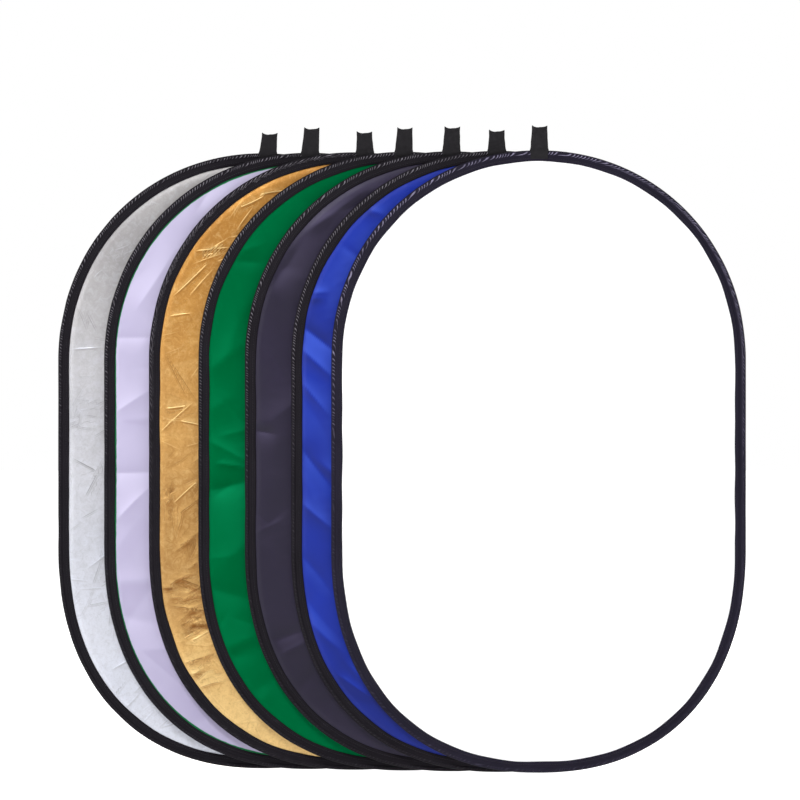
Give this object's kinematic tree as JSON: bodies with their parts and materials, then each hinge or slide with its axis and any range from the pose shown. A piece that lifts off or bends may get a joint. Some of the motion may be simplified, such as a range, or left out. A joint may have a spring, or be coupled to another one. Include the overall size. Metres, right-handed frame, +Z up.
{
  "type": "collapsible reflector disc set",
  "caption": "Fanned set of oval collapsible light reflectors with spring-steel hoops, black gathered binding, coloured fabric faces and webbing hang loops.",
  "frame": {"origin": "middle of the set's bounding box, on the floor plane that the rims stand on", "axes": "+X to the right along the fan, +Y from the front panel to the back panel, +Z up"},
  "size_m": [0.9988, 0.0954, 0.9347],
  "materials": {
    "spring_steel": "blued flat spring strip, satin",
    "ferrule_metal": "crimped plated sleeve, satin",
    "binding_tape": "black woven polyester tape, gathered over the hoop",
    "loop_webbing": "black woven webbing, ribbed",
    "diffuser_fabric": "translucent white nylon, matte",
    "blue_fabric": "plain blue polyester, satin sheen with soft folds",
    "black_fabric": "black satin polyester with soft highlights",
    "green_fabric": "plain green polyester, low sheen",
    "gold_foil_fabric": "gold metallised fabric, crinkled and glossy",
    "soft_white_fabric": "cool white coated fabric, smooth satin",
    "silver_foil_fabric": "silver metallised fabric, finely crinkled"
  },
  "bodies": {
    "diffuser_panel": {"diffuser_spring_hoop": "spring_steel", "diffuser_hoop_ferrule": "ferrule_metal", "diffuser_binding": "binding_tape", "diffuser_skin": "diffuser_fabric", "diffuser_loop_saddle": "loop_webbing"},
    "diffuser_loop": {"diffuser_hang_loop": "loop_webbing"},
    "blue_panel": {"blue_spring_hoop": "spring_steel", "blue_hoop_ferrule": "ferrule_metal", "blue_binding": "binding_tape", "blue_front_skin": "blue_fabric", "blue_back_skin": "green_fabric", "blue_loop_saddle": "loop_webbing"},
    "blue_loop": {"blue_hang_loop": "loop_webbing"},
    "black_panel": {"black_spring_hoop": "spring_steel", "black_hoop_ferrule": "ferrule_metal", "black_binding": "binding_tape", "black_front_skin": "black_fabric", "black_back_skin": "soft_white_fabric", "black_loop_saddle": "loop_webbing"},
    "black_loop": {"black_hang_loop": "loop_webbing"},
    "green_panel": {"green_spring_hoop": "spring_steel", "green_hoop_ferrule": "ferrule_metal", "green_binding": "binding_tape", "green_front_skin": "green_fabric", "green_back_skin": "blue_fabric", "green_loop_saddle": "loop_webbing"},
    "green_loop": {"green_hang_loop": "loop_webbing"},
    "gold_panel": {"gold_spring_hoop": "spring_steel", "gold_hoop_ferrule": "ferrule_metal", "gold_binding": "binding_tape", "gold_front_skin": "gold_foil_fabric", "gold_back_skin": "silver_foil_fabric", "gold_loop_saddle": "loop_webbing"},
    "gold_loop": {"gold_hang_loop": "loop_webbing"},
    "soft_white_panel": {"soft_white_spring_hoop": "spring_steel", "soft_white_hoop_ferrule": "ferrule_metal", "soft_white_binding": "binding_tape", "soft_white_front_skin": "soft_white_fabric", "soft_white_back_skin": "black_fabric", "soft_white_loop_saddle": "loop_webbing"},
    "soft_white_loop": {"soft_white_hang_loop": "loop_webbing"},
    "silver_panel": {"silver_spring_hoop": "spring_steel", "silver_hoop_ferrule": "ferrule_metal", "silver_binding": "binding_tape", "silver_front_skin": "silver_foil_fabric", "silver_back_skin": "gold_foil_fabric", "silver_loop_saddle": "loop_webbing"},
    "silver_loop": {"silver_hang_loop": "loop_webbing"}
  },
  "joints": [
    {"name": "diffuser_loop_bend", "type": "hinge", "parent": "diffuser_panel", "child": "diffuser_loop", "pos_m": [0.201, -0.042, 0.90415], "axis": [1, 0, 0], "range_deg": [-50, 90], "stiffness_Nm_per_rad": 0.002},
    {"name": "blue_slide", "type": "slide", "parent": "diffuser_panel", "child": "blue_panel", "axis": [1, 0, 0], "range_m": [0, 0.058]},
    {"name": "blue_loop_bend", "type": "hinge", "parent": "blue_panel", "child": "blue_loop", "pos_m": [0.14, -0.028, 0.90415], "axis": [1, 0, 0], "range_deg": [-50, 50], "stiffness_Nm_per_rad": 0.002},
    {"name": "black_slide", "type": "slide", "parent": "blue_panel", "child": "black_panel", "axis": [1, 0, 0], "range_m": [0, 0.0675]},
    {"name": "black_loop_bend", "type": "hinge", "parent": "black_panel", "child": "black_loop", "pos_m": [0.0745, -0.014, 0.90415], "axis": [1, 0, 0], "range_deg": [-50, 50], "stiffness_Nm_per_rad": 0.002},
    {"name": "green_slide", "type": "slide", "parent": "black_panel", "child": "green_panel", "axis": [1, 0, 0], "range_m": [0, 0.068]},
    {"name": "green_loop_bend", "type": "hinge", "parent": "green_panel", "child": "green_loop", "pos_m": [0.0055, 0, 0.90415], "axis": [1, 0, 0], "range_deg": [-50, 50], "stiffness_Nm_per_rad": 0.002},
    {"name": "gold_slide", "type": "slide", "parent": "green_panel", "child": "gold_panel", "axis": [1, 0, 0], "range_m": [0, 0.0725]},
    {"name": "gold_loop_bend", "type": "hinge", "parent": "gold_panel", "child": "gold_loop", "pos_m": [-0.051, 0.014, 0.90415], "axis": [1, 0, 0], "range_deg": [-50, 50], "stiffness_Nm_per_rad": 0.002},
    {"name": "soft_white_slide", "type": "slide", "parent": "gold_panel", "child": "soft_white_panel", "axis": [1, 0, 0], "range_m": [0, 0.066]},
    {"name": "soft_white_loop_bend", "type": "hinge", "parent": "soft_white_panel", "child": "soft_white_loop", "pos_m": [-0.131, 0.028, 0.90415], "axis": [1, 0, 0], "range_deg": [-50, 50], "stiffness_Nm_per_rad": 0.002},
    {"name": "silver_slide", "type": "slide", "parent": "soft_white_panel", "child": "silver_panel", "axis": [1, 0, 0], "range_m": [0, 0.068]},
    {"name": "silver_loop_bend", "type": "hinge", "parent": "silver_panel", "child": "silver_loop", "pos_m": [-0.193, 0.042, 0.90415], "axis": [1, 0, 0], "range_deg": [-90, 50], "stiffness_Nm_per_rad": 0.002}
  ]
}
